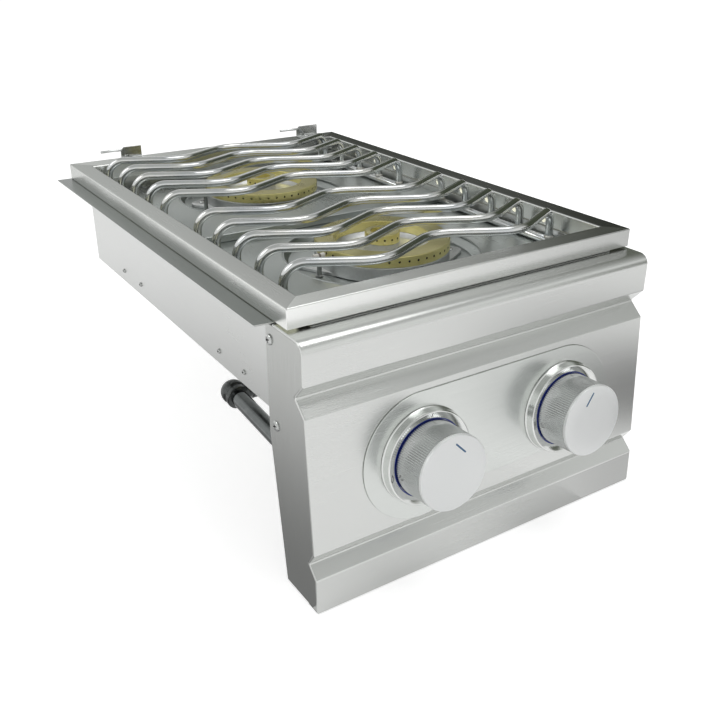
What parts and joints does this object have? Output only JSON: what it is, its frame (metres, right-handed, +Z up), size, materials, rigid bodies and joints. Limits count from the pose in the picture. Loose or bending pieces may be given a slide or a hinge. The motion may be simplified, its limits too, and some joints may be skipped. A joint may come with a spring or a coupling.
{
  "type": "built-in side burner",
  "caption": "Drop-in gas side burner with two burners in line under bent-bar grates, a formed front control panel with push-and-turn knobs, and a gas inlet pipe.",
  "frame": {"origin": "on the counter top's plane, under the middle of the top frame", "axes": "+Z up, +Y from the control panel to the back, +X to the cook's right"},
  "size_m": [0.4006, 0.6159, 0.2733],
  "materials": {
    "frame_steel": "satin brushed along each side",
    "box_steel": "plain mill-finish sheet",
    "panel_steel": "satin brushed from side to side",
    "tray_steel": "semi-bright sheet",
    "bar_steel": "polished round bar",
    "burner_brass": "machined",
    "cast_alloy": "as cast",
    "tube_alloy": "drawn tube",
    "valve_brass": "machined",
    "polished_steel": "polished",
    "knob_satin": "satin plated",
    "led_blue": "clear ring lit blue",
    "igniter_ceramic": "glazed",
    "dark_fitting": "dark glossy"
  },
  "bodies": {
    "burner_unit": {"top_frame": "frame_steel", "hinge_bracket_left": "frame_steel", "hinge_bracket_right": "frame_steel", "box_left_side": "box_steel", "box_right_side": "box_steel", "box_front_wall": "box_steel", "box_rear_wall": "box_steel", "box_floor": "box_steel", "burner_support_front": "box_steel", "burner_support_rear": "box_steel", "fascia": "panel_steel", "end_panel_left": "panel_steel", "end_panel_right": "panel_steel", "control_plate": "panel_steel", "burner_tray": "tray_steel", "tray_bridge": "tray_steel", "burner_base_front": "cast_alloy", "mixer_tube_front": "cast_alloy", "burner_base_rear": "cast_alloy", "mixer_tube_rear": "cast_alloy", "gas_tube_front": "tube_alloy", "gas_tube_rear": "tube_alloy", "valve_body_left": "valve_brass", "valve_body_right": "valve_brass", "gas_injector_front": "valve_brass", "gas_injector_rear": "valve_brass", "gas_manifold": "polished_steel", "hinge_pin_left": "polished_steel", "hinge_pin_right": "polished_steel", "bezel_left": "polished_steel", "bezel_right": "polished_steel", "led_ring_left": "led_blue", "led_ring_right": "led_blue", "igniter_front": "igniter_ceramic", "igniter_rear": "igniter_ceramic", "inlet_elbow": "dark_fitting"},
    "grate_front": {"front_grate_bar_1": "bar_steel", "front_grate_bar_2": "bar_steel", "front_grate_bar_3": "bar_steel", "front_grate_bar_4": "bar_steel", "front_grate_bar_5": "bar_steel", "front_grate_rail_left": "bar_steel", "front_grate_rail_right": "bar_steel"},
    "outer_ring_front": {"outer_burner_ring_front": "burner_brass"},
    "inner_ring_front": {"inner_burner_ring_front": "burner_brass"},
    "grate_rear": {"rear_grate_bar_1": "bar_steel", "rear_grate_bar_2": "bar_steel", "rear_grate_bar_3": "bar_steel", "rear_grate_bar_4": "bar_steel", "rear_grate_bar_5": "bar_steel", "rear_grate_rail_left": "bar_steel", "rear_grate_rail_right": "bar_steel"},
    "outer_ring_rear": {"outer_burner_ring_rear": "burner_brass"},
    "inner_ring_rear": {"inner_burner_ring_rear": "burner_brass"},
    "valve_left": {"valve_plug_left": "valve_brass"},
    "knob_left": {"valve_stem_left": "polished_steel", "knob_left": "knob_satin"},
    "valve_right": {"valve_plug_right": "valve_brass"},
    "knob_right": {"valve_stem_right": "polished_steel", "knob_right": "knob_satin"}
  },
  "joints": [
    {"name": "grate_lift_front", "type": "slide", "parent": "burner_unit", "child": "grate_front", "axis": [0, 0, 1], "range_m": [0, 0.06]},
    {"name": "outer_ring_lift_front", "type": "slide", "parent": "burner_unit", "child": "outer_ring_front", "axis": [0, 0, 1], "range_m": [0, 0.01]},
    {"name": "inner_ring_lift_front", "type": "slide", "parent": "burner_unit", "child": "inner_ring_front", "axis": [0, 0, 1], "range_m": [0, 0.01]},
    {"name": "grate_lift_rear", "type": "slide", "parent": "burner_unit", "child": "grate_rear", "axis": [0, 0, 1], "range_m": [0, 0.06]},
    {"name": "outer_ring_lift_rear", "type": "slide", "parent": "burner_unit", "child": "outer_ring_rear", "axis": [0, 0, 1], "range_m": [0, 0.01]},
    {"name": "inner_ring_lift_rear", "type": "slide", "parent": "burner_unit", "child": "inner_ring_rear", "axis": [0, 0, 1], "range_m": [0, 0.01]},
    {"name": "valve_turn_left", "type": "hinge", "parent": "burner_unit", "child": "valve_left", "pos_m": [-0.076, -0.30047, -0.12521], "axis": [0, -0.9969, 0.0785], "range_deg": [0, 210]},
    {"name": "knob_push_left", "type": "slide", "parent": "valve_left", "child": "knob_left", "axis": [0, 0.9969, -0.0785], "range_m": [0, 0.003], "stiffness_N_per_m": 1500, "springref_m": -0.003},
    {"name": "valve_turn_right", "type": "hinge", "parent": "burner_unit", "child": "valve_right", "pos_m": [0.0805, -0.30047, -0.12521], "axis": [0, -0.9969, 0.0785], "range_deg": [0, 210]},
    {"name": "knob_push_right", "type": "slide", "parent": "valve_right", "child": "knob_right", "axis": [0, 0.9969, -0.0785], "range_m": [0, 0.003], "stiffness_N_per_m": 1500, "springref_m": -0.003}
  ]
}
